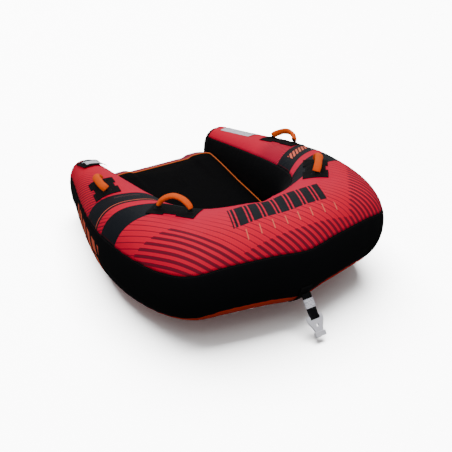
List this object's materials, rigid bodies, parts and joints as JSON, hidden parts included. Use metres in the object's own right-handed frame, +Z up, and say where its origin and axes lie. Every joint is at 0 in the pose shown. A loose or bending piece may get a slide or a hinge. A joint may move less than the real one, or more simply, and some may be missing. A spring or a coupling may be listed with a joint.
{
  "type": "towable tube",
  "caption": "U-shaped inflatable tow-behind tube with an inflated seat, foam grips on webbing handles and a bow strap that ends in a moulded quick connector.",
  "frame": {"origin": "on the flat underside of the seat, on the part's centreline, 0.87 m behind the bow", "axes": "+Z up, -Y towards the bow and the tow line, +Y back along the two arms, +X towards the arm that carries the long blank label"},
  "size_m": [1.4974, 1.7929, 0.6275],
  "materials": {
    "crimson": "printed woven nylon cover, satin sheen",
    "black_cover": "coated woven nylon, matte",
    "keel_orange": "coated woven nylon, satin",
    "bladder_pvc": "welded PVC film",
    "seat_black": "soft knitted facing, matte",
    "seat_maroon": "printed woven nylon cover",
    "piping_orange": "covered cord, satin",
    "webbing_black": "woven polyester webbing",
    "grip_orange": "closed-cell foam sleeve",
    "label_white": "blank woven label",
    "plastic_white": "moulded plastic",
    "plastic_black": "moulded plastic",
    "zip_metal": "die-cast, satin"
  },
  "bodies": {
    "hull": {"main_bladder": "bladder_pvc", "top_panel": "crimson", "inner_side_panel": "black_cover", "keel_panel": "keel_orange", "outer_side_panel": "black_cover", "left_end_panel": "black_cover", "right_end_panel": "black_cover", "seat_bladder": "bladder_pvc", "seat_base_panel": "black_cover", "seat_side_panel": "seat_maroon", "seat_top_panel": "seat_black", "seat_piping": "piping_orange", "seat_valve_body": "plastic_black", "seat_zip_tape": "webbing_black", "hull_valve_body": "plastic_black", "care_label": "label_white", "tow_patch": "webbing_black", "left_rear_handle_patch": "webbing_black", "right_rear_handle_patch": "webbing_black", "left_front_handle_patch": "webbing_black", "right_front_handle_patch": "webbing_black"},
    "left_rear_handle": {"left_rear_handle_strap": "webbing_black", "left_rear_handle_grip": "grip_orange"},
    "right_rear_handle": {"right_rear_handle_strap": "webbing_black", "right_rear_handle_grip": "grip_orange"},
    "left_front_handle": {"left_front_handle_strap": "webbing_black", "left_front_handle_grip": "grip_orange"},
    "right_front_handle": {"right_front_handle_strap": "webbing_black", "right_front_handle_grip": "grip_orange"},
    "tow_strap": {"tow_strap": "webbing_black", "tow_strap_label": "label_white"},
    "tow_connector": {"tow_connector": "plastic_white"},
    "valve_flap": {"valve_flap": "webbing_black", "flap_label": "label_white"},
    "hull_valve_cap": {"hull_valve_cap": "plastic_black"},
    "seat_valve_cap": {"seat_valve_cap": "plastic_black"},
    "seat_zip_slider": {"seat_zip_slider": "zip_metal"},
    "seat_zip_pull": {"seat_zip_pull": "zip_metal"}
  },
  "joints": [
    {"name": "left_rear_handle_tilt", "type": "hinge", "parent": "hull", "child": "left_rear_handle", "pos_m": [-0.57217, 0.17724, 0.48262], "axis": [-0.2226, -0.9639, 0.146], "range_deg": [-77, 23], "stiffness_Nm_per_rad": 0.6},
    {"name": "right_rear_handle_tilt", "type": "hinge", "parent": "hull", "child": "right_rear_handle", "pos_m": [0.57518, 0.15421, 0.48628], "axis": [0.223, -0.9641, 0.1443], "range_deg": [-5, 95], "stiffness_Nm_per_rad": 0.6},
    {"name": "left_front_handle_tilt", "type": "hinge", "parent": "hull", "child": "left_front_handle", "pos_m": [-0.43045, -0.34353, 0.55404], "axis": [0.6129, -0.7869, 0.0721], "range_deg": [-45, 55], "stiffness_Nm_per_rad": 0.6},
    {"name": "right_front_handle_tilt", "type": "hinge", "parent": "hull", "child": "right_front_handle", "pos_m": [0.4303, -0.34349, 0.55385], "axis": [-0.6115, -0.7877, 0.0745], "range_deg": [-30, 70], "stiffness_Nm_per_rad": 0.6},
    {"name": "tow_strap_swing", "type": "hinge", "parent": "hull", "child": "tow_strap", "pos_m": [0, -0.85663, 0.19981], "axis": [-1, 0, 0], "range_deg": [-15, 65], "stiffness_Nm_per_rad": 3},
    {"name": "tow_connector_swing", "type": "hinge", "parent": "tow_strap", "child": "tow_connector", "pos_m": [0, -0.93184, 0.10889], "axis": [-1, 0, 0], "range_deg": [-70, 70]},
    {"name": "valve_flap_lift", "type": "hinge", "parent": "hull", "child": "valve_flap", "pos_m": [-0.462, 0.557, 0.41644], "axis": [1, 0, 0], "range_deg": [0, 120]},
    {"name": "hull_valve_cap_turn", "type": "hinge", "parent": "hull", "child": "hull_valve_cap", "pos_m": [-0.48574, 0.6119, 0.3951], "axis": [-0.0121, 0.1803, 0.9835], "range_deg": [0, 90]},
    {"name": "seat_valve_cap_turn", "type": "hinge", "parent": "hull", "child": "seat_valve_cap", "pos_m": [0.2, 0.745, 0.08], "axis": [0, 1, 0], "range_deg": [0, 90]},
    {"name": "seat_zip_run", "type": "slide", "parent": "hull", "child": "seat_zip_slider", "axis": [1, 0, 0], "range_m": [0, 0.33]},
    {"name": "seat_zip_pull_lift", "type": "hinge", "parent": "seat_zip_slider", "child": "seat_zip_pull", "pos_m": [-0.22, 0.7562, 0.08], "axis": [0, 0, 1], "range_deg": [0, 90]}
  ]
}
